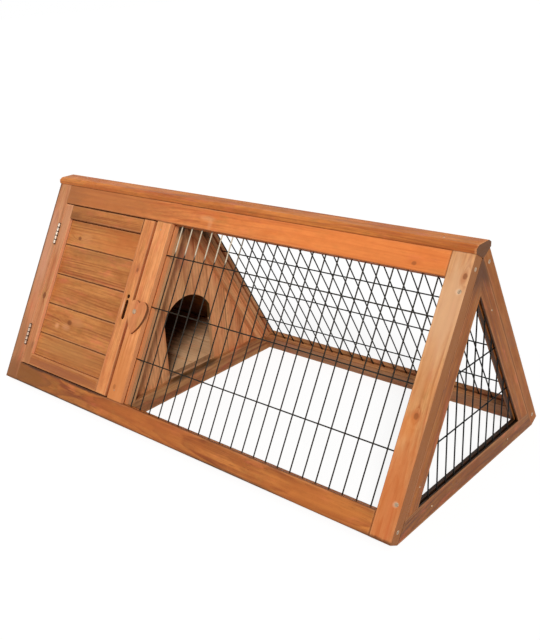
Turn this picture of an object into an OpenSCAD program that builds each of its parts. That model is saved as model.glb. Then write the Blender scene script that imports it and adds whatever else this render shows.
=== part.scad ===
// Triangular outdoor run for a rabbit: two sloping framed panels under a ridge
// cap, a boarded shelter behind an arched doorway at the left end, and an open
// wire run at the right end. Millimetres, front towards -Y, standing on z = 0.

/* [Panels] */
// Length of the side panels
run_len = 1180; // [1000:10:1400]
// Height of a side panel, measured up its slope
panel_h = 522; // [480:2:580]
// Thickness of the panel timber
panel_t = 27; // [25:0.5:32]
// Slope of the panels, degrees from the ground
slope = 60; // [57:0.5:63]
// Distance from the centre to a panel's inner top corner
ridge_gap = 1.5; // [0.5:0.5:4]
// Width of the top and bottom rails
rail_w = 48; // [40:1:56]
// Width of both left posts
left_post_w = 45.5; // [42:0.5:56]
// Width of the front right post
front_right_post_w = 45; // [40:1:56]
// Width of the rear right post
rear_right_post_w = 49; // [40:1:56]
// Left end to the left edge of the front jamb
jamb_x = 393; // [360:1:430]
// Width of the front jamb
jamb_w = 48; // [42:1:60]
// Left end to the left edge of the rear middle post
rear_middle_x = 408; // [380:1:440]
// Width of the rear middle post
rear_middle_w = 48; // [40:1:56]
// Radius of the planed edges of all timber
ease = 1.4; // [0.6:0.2:2.4]

/* [Ridge cap] */
// Width of the cap
cap_w = 53; // [51:1:64]
// Height of the cap above the panels' outer top corners
cap_h = 14.5; // [12:0.5:22]
// Width of the chamfer on the cap's upper edges
cap_chamfer = 8.5; // [3:0.5:12]
// Height of that chamfer
cap_chamfer_h = 5; // [2:0.5:8]
// Overhang of the cap past each end
cap_overhang = 1; // [0:0.5:12]

/* [End frames] */
// Width of an end leg, across its slope
leg_w = 37; // [30:1:44]
// Thickness of the end legs and the end bottom rails
leg_t = 17; // [14:0.5:22]
// Height of an end bottom rail
end_rail_h = 41; // [32:1:52]

/* [Wire mesh] */
// Diameter of the wires
wire_d = 2.8; // [1.8:0.1:3]
// Depth by which two welded wires sink into each other
weld_sink = 0.4; // [0.2:0.1:0.6]
// Spacing of the upright wires
mesh_pitch = 31; // [26:0.5:40]
// Spacing of the cross wires in the side panels
mesh_rows = 123.5; // [90:0.5:140]
// Spacing of the cross wires in the end frame
end_mesh_rows = 111; // [80:1:130]
// Front right post to the first upright wire
front_wire_x = 18.5; // [6:0.5:30]
// Rear right post to the first upright wire
rear_wire_x = 8.5; // [6:0.5:30]
// Front bottom rail to the first cross wire
front_wire_s = 107; // [40:1:118]
// Rear bottom rail to the first cross wire
rear_wire_s = 71.5; // [40:0.5:118]
// End bottom rail to the first cross wire
end_wire_z = 96.5; // [40:0.5:105]
// Depth of the end mesh behind its frame's outer face
end_mesh_depth = 6.5; // [5.5:0.5:9]
// Depth of the mesh groove in the timber
groove_in = 8; // [5:0.5:12]
// Length of wire held in the groove
wire_in = 6; // [3:0.5:7]
// Clearance on each side of the mesh in its groove
groove_gap = 0.3; // [0.2:0.1:0.8]

/* [Boards] */
// Thickness of all wall boards
board_t = 10; // [8:0.5:12]
// Depth of the boards behind the face of a panel or of the door
board_recess = 9; // [5:0.5:12]
// Gap between neighbouring boards
board_gap = 0.4; // [0.2:0.1:1]

/* [Partition] */
// Width of a partition leg, across its slope
part_leg_w = 19; // [14:1:28]
// Height of the partition's bottom rail
part_rail_h = 41; // [32:1:52]
// Left edge of the wide middle board, from the centre
part_board_a = 118; // [105:1:150]
// Right edge of the wide middle board, from the centre
part_board_b = 119; // [90:1:150]
// Centre of the doorway, from the centre
door_hole_y = -12.5; // [-25:0.5:25]
// Width of the doorway
door_hole_w = 154; // [120:1:170]
// Height of the doorway's lower edge
door_hole_z = 32; // [28:1:38]
// Height at which the doorway's arch springs
door_hole_spring = 187; // [150:1:200]
// Height of the crown of the arch
door_hole_top = 233; // [205:1:250]

/* [Shelter floor] */
// Thickness of the floor boards
floor_t = 9; // [8:0.5:14]
// Gap between the floor boards
floor_gap = 2; // [1:0.5:4]
// Height of a floor bearer
bearer_h = 24; // [16:1:30]
// Thickness of a floor bearer
bearer_t = 18; // [12:1:26]
// Space between the floor boards and the sloping panels
floor_side_gap = 0.8; // [0.4:0.2:3]

/* [Door] */
// Gap between the front left post and the door, filled by the hinge leaves
door_gap_left = 2; // [2:0.2:4]
// Gap between the door and the jamb
door_gap_right = 7; // [4:0.5:9]
// Gap above and below the door
door_gap_s = 2; // [1.5:0.5:5]
// Gap between the closed door and its stop
door_stop_gap = 0.3; // [0.2:0.1:1]
// Width of the hinge-side stile
left_stile_w = 29.5; // [24:0.5:40]
// Width of the latch-side stile
right_stile_w = 37; // [26:1:48]
// Height of the door's bottom rail
door_low_rail_w = 29; // [24:1:50]
// Height of the door's top rail
door_top_rail_w = 35; // [26:1:50]
// Height of the lowest door board
door_first_board = 59; // [40:1:75]
// Height of the topmost door board
door_last_board = 65; // [40:1:75]
// Middle of the finger groove, from the door's latch-side edge
pull_in = 16.5; // [8:0.5:18]
// Middle of the finger groove, measured up the slope
pull_s = 255.5; // [200:0.5:300]
// Length of the finger groove
pull_len = 47; // [30:1:60]
// Width of the groove and of the round recess above it
pull_w = 9.5; // [6:0.5:11]
// Depth of the groove and of the round recess
pull_depth = 9; // [4:0.5:12]
// Width of the stop batten
stop_w = 36; // [28:1:40]
// Thickness of the stop batten
stop_t = 12; // [8:1:20]
// Reach of the stop batten past the jamb, behind the door
stop_reach = 18; // [10:1:22]

/* [Hinges] */
// Length of a hinge along its pin
hinge_len = 54; // [40:2:70]
// Middle of the lower hinge, measured up the slope
hinge_low_s = 123; // [100:1:150]
// Middle of the upper hinge, measured up the slope
hinge_top_s = 392; // [360:1:410]
// Radius of the hinge knuckles
knuckle_r = 3.3; // [3:0.1:4]
// Radius of the hinge pins
pin_r = 1.5; // [1.2:0.1:1.8]
// Running clearance round the hinge pins
pin_gap = 0.05; // [0.02:0.01:0.09]
// Gap between neighbouring knuckles, and between a knuckle and the door's face
knuckle_gap = 0.3; // [0.2:0.1:0.6]
// Thickness of a hinge leaf
leaf_t = 0.9; // [0.7:0.1:0.95]
// Depth of a hinge leaf behind the face
leaf_w = 17; // [14:0.5:22]

/* [Turn button] */
// Pivot of the turn button, from the left edge of the jamb
button_x = 17; // [16:0.5:24]
// Height of the pivot, measured up the slope
button_s = 257.5; // [220:0.5:300]
// Half of the button's width
button_half = 29; // [26:0.5:30]
// Centre of the button's outline, to the right of the pivot
button_off = 7; // [3.5:0.5:8]
// Radius of the two lobes
lobe_r = 17; // [15:0.5:19]
// Height of the lobes' centres above the pivot
lobe_up = 10; // [4:0.5:14]
// Distance from the pivot down to the point
button_drop = 51; // [44:0.5:58]
// Thickness of the button
button_t = 6; // [5:0.5:10]
// Space between the button and the jamb, and under the screw's flange
button_gap = 0.3; // [0.2:0.1:0.5]
// Radius of the pivot screw's shank
pivot_r = 2.2; // [1.8:0.1:2.6]
// Running clearance round the pivot screw
pivot_gap = 0.06; // [0.02:0.01:0.09]
// Radius of the pivot screw's flange
flange_r = 5.6; // [4.5:0.1:6.5]

/* [Fasteners] */
// Diameter of the frame screws' shanks
screw_d = 4; // [3:0.5:5]
// Diameter of the frame screws' heads
screw_head_d = 8; // [7:0.5:9]
// Grip of a frame screw in the second piece
screw_grip = 24; // [16:1:30]
// Diameter of the nails
nail_d = 1.8; // [1.4:0.1:2.2]
// Diameter of the nail heads
nail_head_d = 3.4; // [3:0.2:5]
// Clearance round screws and nails
bore_gap = 0.05; // [0.02:0.01:0.1]
// Height of the two screws in the right posts
post_screw_low = 70; // [60:1:90]
// Distance of the upper screw in the right posts from the panel's top
post_screw_top = 69; // [60:1:90]

/* [Hidden] */
$fn = 24;

// Reach of a cutter past the face that it cuts
past = 1;
// Lean of the panels as ratios
cos_s = cos(slope);
sin_s = sin(slope);
tan_s = tan(slope);
// Height of a panel's outer bottom edge: its inner bottom corner is on the ground
foot_z = panel_t * cos_s;
// Half of the width between the panels' inner bottom corners
inner_half = panel_h * cos_s + ridge_gap;
// Half of the width between their outer bottom edges
half_w = inner_half + panel_t * sin_s;
// Height at which the panels' inner faces would meet
inner_apex = inner_half * tan_s;
// Outer top corner of the panels: distance from the centre, and height
top_y = half_w - panel_h * cos_s;
top_z = foot_z + panel_h * sin_s;
// Lowest line of the cap, where its two seats meet
cap_tip_z = top_z - top_y / tan_s;
// Top of the end and partition legs, just under the cap
leg_top_z = cap_tip_z - 1;

// Places along the length, from the left end
jamb_x1 = jamb_x + jamb_w;
rear_middle_x1 = rear_middle_x + rear_middle_w;
front_right_x = run_len - front_right_post_w;
rear_right_x = run_len - rear_right_post_w;
// Faces of the partition: its legs are flush with the front jamb
part_leg_x = jamb_x1 - leg_t;
part_board_x = part_leg_x - board_t;
// Number of boards in the shelter's rear wall, left end wall, floor and door
rear_boards = 5;
end_boards = 4;
floor_boards = 4;
door_boards = 5;
// Clearance of the wall boards from the sloping panels
wall_side_gap = 0.5;
// Lower edge of the upright wall boards
wall_foot = 4;
// Inside height of the panels' openings
bay_h = panel_h - 2 * rail_w;

// Mesh: middle of its two layers behind the panel's face, and groove width
mesh_depth = panel_t / 2;
layer = (wire_d - weld_sink) / 2;
groove_w = 2 * wire_d - weld_sink + 2 * groove_gap;
// Upright wires of the end mesh shorter than this are left out
shortest_wire = 30;

// Floor
floor_z = part_rail_h;
floor_half = inner_half - (floor_z + floor_t) / tan_s - floor_side_gap;
floor_board_w = (2 * floor_half - (floor_boards - 1) * floor_gap) / floor_boards;
floor_x = leg_t + board_t;
bearer_half = inner_half - floor_z / tan_s - floor_side_gap;

// Door leaf
door_x = left_post_w + door_gap_left;
door_x1 = jamb_x - door_gap_right;
door_s = rail_w + door_gap_s;
door_s1 = panel_h - rail_w - door_gap_s;
door_t = panel_t - door_stop_gap;
door_in_x = door_x + left_stile_w;
door_in_x1 = door_x1 - right_stile_w;
door_in_s = door_s + door_low_rail_w;
door_in_s1 = door_s1 - door_top_rail_w;
// Height of the other door boards, all alike
door_board_step = (door_in_s1 - door_in_s - door_first_board - door_last_board)
    / (door_boards - 2);
// Lines between the door boards, bottom to top
door_lines = [
    door_in_s,
    for (i = [0:door_boards - 2]) door_in_s + door_first_board + i * door_board_step,
    door_in_s1,
];

// Wood left between the finger groove and the round recess
pull_web = 3.5;

// Foot of the stop batten, just above the shelter's floor
stop_s = (floor_z + floor_t + floor_side_gap - foot_z + (panel_t + stop_t) * cos_s) / sin_s;

// Hinges: pin line in the door's left gap, just proud of the face
hinge_x = left_post_w + door_gap_left / 2;
hinge_out = knuckle_r + knuckle_gap;
knuckles = 5;
knuckle_len = (hinge_len - (knuckles - 1) * knuckle_gap) / knuckles;
hinge_screw_d = 3;
hinge_screw_head_d = 5.6;
hinge_screw_len = 15;
hinge_screw_depth = leaf_w * 0.6;
hinge_screw_at = hinge_len * 0.3;

// Turn button
pivot_x = jamb_x + button_x;
lobe_x = button_half - lobe_r;
tip_drop = button_drop + lobe_up;
side_x = (tip_drop * tip_drop - button_half * button_half) / (2 * button_half);
side_r = side_x + button_half;
flange_t = 1.2;
pivot_head_r = 3.8;
pivot_head_h = 1.8;
pivot_grip = 20;

// Nails: lengths, height of a head, and their places
jamb_nail_len = 24;
end_nail_len = leg_t - 3;
cap_nail_len = 34;
nail_head_h = 0.7;
jamb_nail_x = jamb_x + 18;
rear_nail_x = rear_middle_x + rear_middle_w / 2;
jamb_nail_s = [70, panel_h - 67];
front_leg_nail_z = 84;
rear_leg_nail_z = 339;
rail_nail_y = 149;
rail_nail_z = 20;
cap_nail_in = 72;
cap_nail_y = 8;
// Setback of the post screws from the middle of the end legs
post_screw_back = 2;

red_wood = "#c9743f";
pale_wood = "#d99a63";
brown_wood = "#a9683a";
dark_wire = "#23251f";
steel = "#b9bcc0";

// ---------------------------------------------------------------- timber

// Rectangle with rounded corners, from the origin
module eased(w, h) {
    translate([ease, 0]) square([w - 2 * ease, h]);
    translate([0, ease]) square([w, h - 2 * ease]);
    for (x = [ease, w - ease], y = [ease, h - ease])
        translate([x, y]) circle(r = ease);
}

// Planed timber with its grain along X, Y or Z
module grain_x(x0, x1, y0, y1, z0, z1)
    translate([x0, y0, z0]) rotate([90, 0, 90])
        linear_extrude(x1 - x0) eased(y1 - y0, z1 - z0);

module grain_y(x0, x1, y0, y1, z0, z1)
    translate([x0, y0, z1]) rotate([-90, 0, 0])
        linear_extrude(y1 - y0) eased(x1 - x0, z1 - z0);

module grain_z(x0, x1, y0, y1, z0, z1)
    translate([x0, y0, z0])
        linear_extrude(z1 - z0) eased(x1 - x0, y1 - y0);

// Cutter or plain block between two corners
module block(x0, x1, y0, y1, z0, z1)
    translate([x0, y0, z0]) cube([x1 - x0, y1 - y0, z1 - z0]);

// Panel frame of reference: x from the left end, y up the slope, z out of the face
module in_front()
    translate([-run_len / 2, -half_w, foot_z]) rotate([slope, 0, 0]) children();

module in_rear() mirror([0, 1, 0]) in_front() children();

// World frame of reference with x from the left end
module from_left() translate([-run_len / 2, 0, 0]) children();

// Groove for the mesh along X or along the slope, cut into an edge
module groove_along_x(x0, x1, s0, s1)
    block(x0, x1, s0, s1, -mesh_depth - groove_w / 2, -mesh_depth + groove_w / 2);

// ---------------------------------------------------------------- fasteners

// Countersunk screw pointing down -Z, its head flush with z = 0
module screw_solid(len, d, head_d, gap = 0) {
    head_h = (head_d - d) / 2;
    rotate_extrude()
        polygon([
            [0, 0], [head_d / 2 + gap, 0], [d / 2 + gap, -head_h],
            [d / 2 + gap, -len + d / 2], [0, -len - gap],
        ]);
}

module screw(len, d, head_d) {
    slot = d * 0.22;
    difference() {
        screw_solid(len, d, head_d);
        for (a = [0, 90])
            rotate([0, 0, a])
                translate([-d * 0.6, -slot / 2, -d * 0.25]) cube([d * 1.2, slot, d]);
    }
}

// Hole for that screw, open above the face
module screw_hole(len, d, head_d) {
    screw_solid(len, d, head_d, bore_gap);
    cylinder(h = past, r = head_d / 2 + bore_gap);
}

// Nail pointing down -Z, its flat head on z = 0
module nail(len) {
    translate([0, 0, -len]) cylinder(h = len, d = nail_d);
    cylinder(h = nail_head_h, d1 = nail_head_d, d2 = nail_head_d * 0.85);
}

module nail_hole(len)
    translate([0, 0, -len - bore_gap])
        cylinder(h = len + past, d = nail_d + 2 * bore_gap);

// Screws through a post into the rails' ends, in the panel's frame of reference
module left_screws_at()
    for (s = [rail_w / 2, panel_h - rail_w / 2])
        translate([0, s, -panel_t / 2]) rotate([0, -90, 0]) children();

module right_screws_at()
    for (s = [rail_w / 2, panel_h - rail_w / 2])
        translate([run_len, s, -panel_t / 2]) rotate([0, 90, 0]) children();

left_screw_len = left_post_w + screw_grip;
front_screw_len = front_right_post_w + screw_grip;
rear_screw_len = rear_right_post_w + screw_grip;
leg_screw_len = panel_t + screw_grip;

module frame_screw(len) screw(len, screw_d, screw_head_d);
module frame_screw_hole(len) screw_hole(len, screw_d, screw_head_d);

// Screws through the right posts into the right legs
module leg_screws_at()
    for (s = [post_screw_low, panel_h - post_screw_top])
        translate([run_len - leg_t / 2 - post_screw_back, s, 0]) children();

// Nails in the jamb and the rear middle post, in the panel's frame of reference
module jamb_nails_at(x)
    for (s = jamb_nail_s) translate([x, s, 0]) children();

// Middle line of an end leg at a height, from the centre
function leg_mid(z) = inner_half - leg_w / 2 / sin_s - z / tan_s;

// Nails in an end frame, driven along the length from its outer face:
// one in a leg, drawn in the front one, and two in the bottom rail
module leg_nail_at(z)
    translate([0, -leg_mid(z), z]) rotate([0, 90, 0]) children();

module rail_nails_at()
    for (y = [-rail_nail_y, rail_nail_y])
        translate([0, y, rail_nail_z]) rotate([0, 90, 0]) children();

module end_nails_at() {
    leg_nail_at(front_leg_nail_z) children();
    mirror([0, 1, 0]) leg_nail_at(rear_leg_nail_z) children();
    rail_nails_at() children();
}

// Both end frames: the right one as drawn, the left one turned round
module right_end() translate([run_len / 2, 0, 0]) children();
module left_end() mirror([1, 0, 0]) right_end() children();

// Nails down through the cap, one into the top rail of each panel
module cap_nails_at()
    for (side = [-1, 1])
        translate([side * (run_len / 2 - cap_nail_in), -side * cap_nail_y, top_z + cap_h])
            children();

module frame_screws() color(steel) {
    in_front() {
        left_screws_at() frame_screw(left_screw_len);
        right_screws_at() frame_screw(front_screw_len);
        leg_screws_at() frame_screw(leg_screw_len);
    }
    in_rear() {
        left_screws_at() frame_screw(left_screw_len);
        right_screws_at() frame_screw(rear_screw_len);
        leg_screws_at() frame_screw(leg_screw_len);
    }
}

module frame_nails() color(steel) {
    in_front() jamb_nails_at(jamb_nail_x) nail(jamb_nail_len);
    in_rear() jamb_nails_at(rear_nail_x) nail(jamb_nail_len);
    right_end() end_nails_at() nail(end_nail_len);
    left_end() end_nails_at() nail(end_nail_len);
    cap_nails_at() nail(cap_nail_len);
}

// ---------------------------------------------------------------- side panels

module left_post()
    difference() {
        grain_y(0, left_post_w, 0, panel_h, -panel_t, 0);
        left_screws_at() frame_screw_hole(left_screw_len);
    }

module right_post(x, screw_len)
    difference() {
        grain_y(x, run_len, 0, panel_h, -panel_t, 0);
        groove_along_x(x - past, x + groove_in, rail_w - groove_in,
                       panel_h - rail_w + groove_in);
        right_screws_at() frame_screw_hole(screw_len);
        leg_screws_at() frame_screw_hole(leg_screw_len);
    }

// Rail between the posts; the groove runs along the wire bay
module side_rail(s, groove_s, bay_x, right_x, right_len)
    difference() {
        grain_x(left_post_w, right_x, s, s + rail_w, -panel_t, 0);
        groove_along_x(bay_x, right_x + past, groove_s, groove_s + groove_in + past);
        left_screws_at() frame_screw_hole(left_screw_len);
        right_screws_at() frame_screw_hole(right_len);
    }

module low_rail(bay_x, right_x, len)
    side_rail(0, rail_w - groove_in, bay_x, right_x, len);

module high_rail(bay_x, right_x, len)
    side_rail(panel_h - rail_w, panel_h - rail_w - past, bay_x, right_x, len);

// Post between the rails, grooved on its right edge
module middle_post(x, w, nail_x)
    difference() {
        grain_y(x, x + w, rail_w, panel_h - rail_w, -panel_t, 0);
        groove_along_x(x + w - groove_in, x + w + past, 0, panel_h);
        jamb_nails_at(nail_x) nail_hole(jamb_nail_len);
    }

module front_left_post()
    color(red_wood) in_front()
        difference() {
            left_post();
            post_leaf_screws_at() hinge_screw_hole();
        }

module rear_left_post() color(red_wood) in_rear() left_post();

module front_right_post()
    color(pale_wood) in_front() right_post(front_right_x, front_screw_len);

module rear_right_post()
    color(brown_wood) in_rear() right_post(rear_right_x, rear_screw_len);

module front_bottom_rail()
    color(red_wood) in_front() low_rail(jamb_x1, front_right_x, front_screw_len);

module rear_bottom_rail()
    color(red_wood) in_rear() low_rail(rear_middle_x1, rear_right_x, rear_screw_len);

module front_top_rail()
    color(red_wood) difference() {
        in_front() high_rail(jamb_x1, front_right_x, front_screw_len);
        cap_nails_at() nail_hole(cap_nail_len);
    }

module rear_top_rail()
    color(red_wood) difference() {
        in_rear() high_rail(rear_middle_x1, rear_right_x, rear_screw_len);
        cap_nails_at() nail_hole(cap_nail_len);
    }

module front_jamb()
    color(pale_wood) in_front()
        difference() {
            middle_post(jamb_x, jamb_w, jamb_nail_x);
            translate([pivot_x, button_s, 0]) pivot_hole();
        }

module rear_middle_post()
    color(brown_wood) in_rear()
        middle_post(rear_middle_x, rear_middle_w, rear_nail_x);

// Rear wall of the shelter, boards laid along the run from the bottom up
module rear_wall_board(i) {
    step = bay_h / rear_boards;
    s = rail_w + (i - 1) * step;
    color(red_wood) in_rear()
        grain_x(left_post_w, rear_middle_x, s + board_gap / 2, s + step - board_gap / 2,
                -board_recess - board_t, -board_recess);
}

// ---------------------------------------------------------------- ridge cap

// Cap with a V seat that lies on the square tops of the two panels
module ridge_cap() {
    side = cap_w / 2;
    seat = cap_tip_z + side / tan_s;
    top = top_z + cap_h;
    outline = [
        [0, cap_tip_z], [side, seat], [side, top - cap_chamfer_h],
        [side - cap_chamfer, top], [-side + cap_chamfer, top],
        [-side, top - cap_chamfer_h], [-side, seat],
    ];
    color(red_wood) difference() {
        from_left() translate([-cap_overhang, 0, 0]) rotate([90, 0, 90])
            linear_extrude(run_len + 2 * cap_overhang) polygon(outline);
        cap_nails_at() nail_hole(cap_nail_len);
    }
}

// ---------------------------------------------------------------- triangle frames

// Space between the panels' inner faces, as a prism along X
module inner_prism(x0, x1, gap = 0) {
    g = gap / sin_s;
    translate([x0, 0, 0]) rotate([90, 0, 90]) linear_extrude(x1 - x0)
        polygon([
            [-inner_half + g, 0], [inner_half - g, 0],
            [0, inner_apex - g * tan_s],
        ]);
}

// Front leg of a triangle frame: it lies on the front panel's inner face
module slope_leg(x0, x1, w, z0)
    intersection() {
        translate([0, -half_w, foot_z]) rotate([slope, 0, 0])
            grain_y(x0, x1, -rail_w, panel_h + rail_w, -panel_t - w, -panel_t);
        block(x0 - past, x1 + past, -half_w, 0, z0, leg_top_z);
    }

// Groove along the inner edge of such a leg, open towards the mesh
module leg_groove(x_mid, w)
    translate([0, -half_w, foot_z]) rotate([slope, 0, 0])
        block(x_mid - groove_w / 2, x_mid + groove_w / 2, -rail_w, panel_h + rail_w,
              -panel_t - w - past, -panel_t - w + groove_in);

// Bottom rail of a triangle frame, cut to the slope at both ends
module cross_rail(x0, x1, h)
    intersection() {
        grain_y(x0, x1, -half_w, half_w, 0, h);
        inner_prism(x0 - past, x1 + past);
    }

// One leg of an end frame, drawn as a front one with its outer face on x = 0
module end_leg(grooved, nail_z) {
    difference() {
        slope_leg(-leg_t, 0, leg_w, end_rail_h);
        if (grooved) leg_groove(-end_mesh_depth, leg_w);
        leg_nail_at(nail_z) nail_hole(end_nail_len);
        if (grooved)
            translate([-run_len, -half_w, foot_z]) rotate([slope, 0, 0])
                leg_screws_at() frame_screw_hole(leg_screw_len);
    }
}

module end_rail(grooved)
    difference() {
        cross_rail(-leg_t, 0, end_rail_h);
        if (grooved)
            block(-end_mesh_depth - groove_w / 2, -end_mesh_depth + groove_w / 2,
                  -half_w, half_w, end_rail_h - groove_in, end_rail_h + past);
        rail_nails_at() nail_hole(end_nail_len);
    }

module right_front_leg()
    color(brown_wood) right_end() end_leg(true, front_leg_nail_z);
module right_rear_leg()
    color(brown_wood) right_end() mirror([0, 1, 0]) end_leg(true, rear_leg_nail_z);
module right_bottom_rail() color(brown_wood) right_end() end_rail(true);
module left_front_leg()
    color(brown_wood) left_end() end_leg(false, front_leg_nail_z);
module left_rear_leg()
    color(brown_wood) left_end() mirror([0, 1, 0]) end_leg(false, rear_leg_nail_z);
module left_bottom_rail() color(brown_wood) left_end() end_rail(false);

// Upright wall board between two widths from the centre, cut to the slopes
module wall_board(x0, y0, y1)
    intersection() {
        grain_z(x0, x0 + board_t, y0 + board_gap / 2, y1 - board_gap / 2,
                wall_foot, inner_apex);
        inner_prism(x0 - past, x0 + board_t + past, wall_side_gap);
        block(x0 - past, x0 + board_t + past, -half_w, half_w, 0, leg_top_z);
    }

module left_wall_board(i) {
    step = 2 * inner_half / end_boards;
    color(red_wood) from_left()
        wall_board(leg_t, (i - 1) * step - inner_half, i * step - inner_half);
}

// ---------------------------------------------------------------- partition

module partition_front_leg()
    color(pale_wood) from_left() slope_leg(part_leg_x, jamb_x1, part_leg_w, part_rail_h);

module partition_rear_leg()
    color(brown_wood) from_left() mirror([0, 1, 0])
        slope_leg(part_leg_x, jamb_x1, part_leg_w, part_rail_h);

module partition_bottom_rail()
    color(red_wood) from_left() cross_rail(part_leg_x, jamb_x1, part_rail_h);

// Doorway with a low arch, cut through the middle board
module doorway() {
    rise = door_hole_top - door_hole_spring;
    half = door_hole_w / 2;
    r = (half * half + rise * rise) / (2 * rise);
    translate([part_board_x - past, 0, 0]) rotate([90, 0, 90])
        linear_extrude(board_t + 2 * past)
            intersection() {
                translate([door_hole_y - half, door_hole_z])
                    square([door_hole_w, door_hole_top - door_hole_z]);
                union() {
                    translate([door_hole_y - half, door_hole_z])
                        square([door_hole_w, door_hole_spring - door_hole_z]);
                    translate([door_hole_y, door_hole_top - r]) circle(r = r, $fn = 96);
                }
            }
}

module partition_front_board()
    color(red_wood) from_left() wall_board(part_board_x, -inner_half, -part_board_a);

module partition_middle_board()
    color(red_wood) from_left()
        difference() {
            wall_board(part_board_x, -part_board_a, part_board_b);
            doorway();
        }

module partition_rear_board()
    color(red_wood) from_left() wall_board(part_board_x, part_board_b, inner_half);

// ---------------------------------------------------------------- shelter floor

module bearer(x)
    color(brown_wood) from_left()
        grain_y(x, x + bearer_t, -bearer_half, bearer_half, floor_z - bearer_h, floor_z);

module floor_left_bearer() bearer(floor_x);
module floor_right_bearer() bearer(part_board_x - bearer_t);

module floor_board(i) {
    y = -floor_half + (i - 1) * (floor_board_w + floor_gap);
    color(pale_wood) from_left()
        grain_x(floor_x, part_board_x, y, y + floor_board_w, floor_z, floor_z + floor_t);
}

// ---------------------------------------------------------------- door

// Screws of both hinges: height up the slope of each one
hinge_screw_s = [
    for (s = [hinge_low_s, hinge_top_s], a = [-1, 1]) s + a * hinge_screw_at,
];

// Holes for the screws that hold a leaf to the wood at its left or right
module leaf_screws_at(x, turn)
    for (s = hinge_screw_s)
        translate([x, s, -hinge_screw_depth]) rotate([0, turn, 0]) children();

module hinge_screw() screw(hinge_screw_len, hinge_screw_d, hinge_screw_head_d);
module hinge_screw_hole()
    screw_hole(hinge_screw_len, hinge_screw_d, hinge_screw_head_d);

module post_leaf_screws_at() leaf_screws_at(left_post_w + leaf_t, 90) children();
module door_leaf_screws_at() leaf_screws_at(door_x - leaf_t, -90) children();

module stile(x0, x1)
    grain_y(x0, x1, door_s, door_s1, -door_t, 0);

module door_left_stile()
    color(pale_wood) in_front()
        difference() {
            stile(door_x, door_in_x);
            door_leaf_screws_at() hinge_screw_hole();
        }

// Round-ended groove for the fingers, with a round recess above it
module finger_groove() {
    r = pull_w / 2;
    end = pull_len / 2 - r;
    translate([door_x1 - pull_in, pull_s, -pull_depth])
        linear_extrude(pull_depth + past) {
            translate([-r, -end]) square([pull_w, 2 * end]);
            for (y = [-end, end, pull_len / 2 + pull_web + r])
                translate([0, y]) circle(r = r);
        }
}

module door_right_stile()
    color(pale_wood) in_front()
        difference() {
            stile(door_in_x1, door_x1);
            finger_groove();
        }

module door_cross(s0, s1)
    color(red_wood) in_front() grain_x(door_in_x, door_in_x1, s0, s1, -door_t, 0);

module door_bottom_rail() door_cross(door_s, door_in_s);
module door_top_rail() door_cross(door_in_s1, door_s1);

module door_board(i)
    color(red_wood) in_front()
        grain_x(door_in_x, door_in_x1, door_lines[i - 1] + board_gap / 2,
                door_lines[i] - board_gap / 2, -board_recess - board_t, -board_recess);

module door_stop()
    color(brown_wood) in_front()
        grain_y(jamb_x - stop_reach, jamb_x - stop_reach + stop_w, stop_s, door_s1,
                -panel_t - stop_t, -panel_t);

// ---------------------------------------------------------------- hinges

// Knuckles with their leaf. even picks the knuckles at both ends and the middle
module hinge_half(s_mid, even, bore) {
    s0 = s_mid - hinge_len / 2;
    leaf_x = even ? left_post_w : door_x - leaf_t;
    difference() {
        union() {
            for (i = [0:knuckles - 1])
                if ((i % 2 == 0) == even)
                    translate([0, s0 + i * (knuckle_len + knuckle_gap), 0]) {
                        translate([hinge_x, 0, hinge_out]) rotate([-90, 0, 0])
                            cylinder(h = knuckle_len, r = knuckle_r);
                        block(leaf_x, leaf_x + leaf_t, 0, knuckle_len, -leaf_w / 2, hinge_out);
                    }
            block(leaf_x, leaf_x + leaf_t, s0, s0 + hinge_len, -leaf_w, -knuckle_gap);
        }
        translate([hinge_x, s0 - past, hinge_out]) rotate([-90, 0, 0])
            cylinder(h = hinge_len + 2 * past, r = bore);
    }
}

module hinge_post_leaves()
    color(steel) in_front()
        difference() {
            for (s = [hinge_low_s, hinge_top_s]) hinge_half(s, true, pin_r + pin_gap / 2);
            post_leaf_screws_at() hinge_screw_hole();
        }

module hinge_door_leaves()
    color(steel) in_front()
        difference() {
            for (s = [hinge_low_s, hinge_top_s]) hinge_half(s, false, pin_r + pin_gap);
            door_leaf_screws_at() hinge_screw_hole();
        }

// Pins with a small head at each end
module hinge_pins() {
    head_h = 0.8;
    color(steel) in_front()
        for (s = [hinge_low_s, hinge_top_s])
            translate([hinge_x, s - hinge_len / 2, hinge_out]) rotate([-90, 0, 0]) {
                translate([0, 0, -head_h]) cylinder(h = head_h, r = pin_r * 1.5);
                cylinder(h = hinge_len, r = pin_r);
                translate([0, 0, hinge_len]) cylinder(h = head_h, r = pin_r * 1.5);
            }
}

module hinge_post_screws() color(steel) in_front() post_leaf_screws_at() hinge_screw();
module hinge_door_screws() color(steel) in_front() door_leaf_screws_at() hinge_screw();

// ---------------------------------------------------------------- turn button

// Heart outline round the pivot: two lobes above, two long arcs to the point
module heart() translate([button_off, 0]) {
    for (x = [-lobe_x, lobe_x]) translate([x, lobe_up]) circle(r = lobe_r, $fn = 64);
    intersection() {
        translate([-button_half, -button_drop]) square([2 * button_half, tip_drop]);
        translate([-side_x, lobe_up]) circle(r = side_r, $fn = 96);
        translate([side_x, lobe_up]) circle(r = side_r, $fn = 96);
    }
}

module turn_button()
    color(pale_wood) in_front() translate([pivot_x, button_s, button_gap])
        difference() {
            linear_extrude(button_t) heart();
            translate([0, 0, -past])
                cylinder(h = button_t + 2 * past, r = pivot_r + pivot_gap);
        }

module pivot_hole()
    translate([0, 0, -pivot_grip - bore_gap])
        cylinder(h = pivot_grip + past, r = pivot_r + bore_gap);

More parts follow.
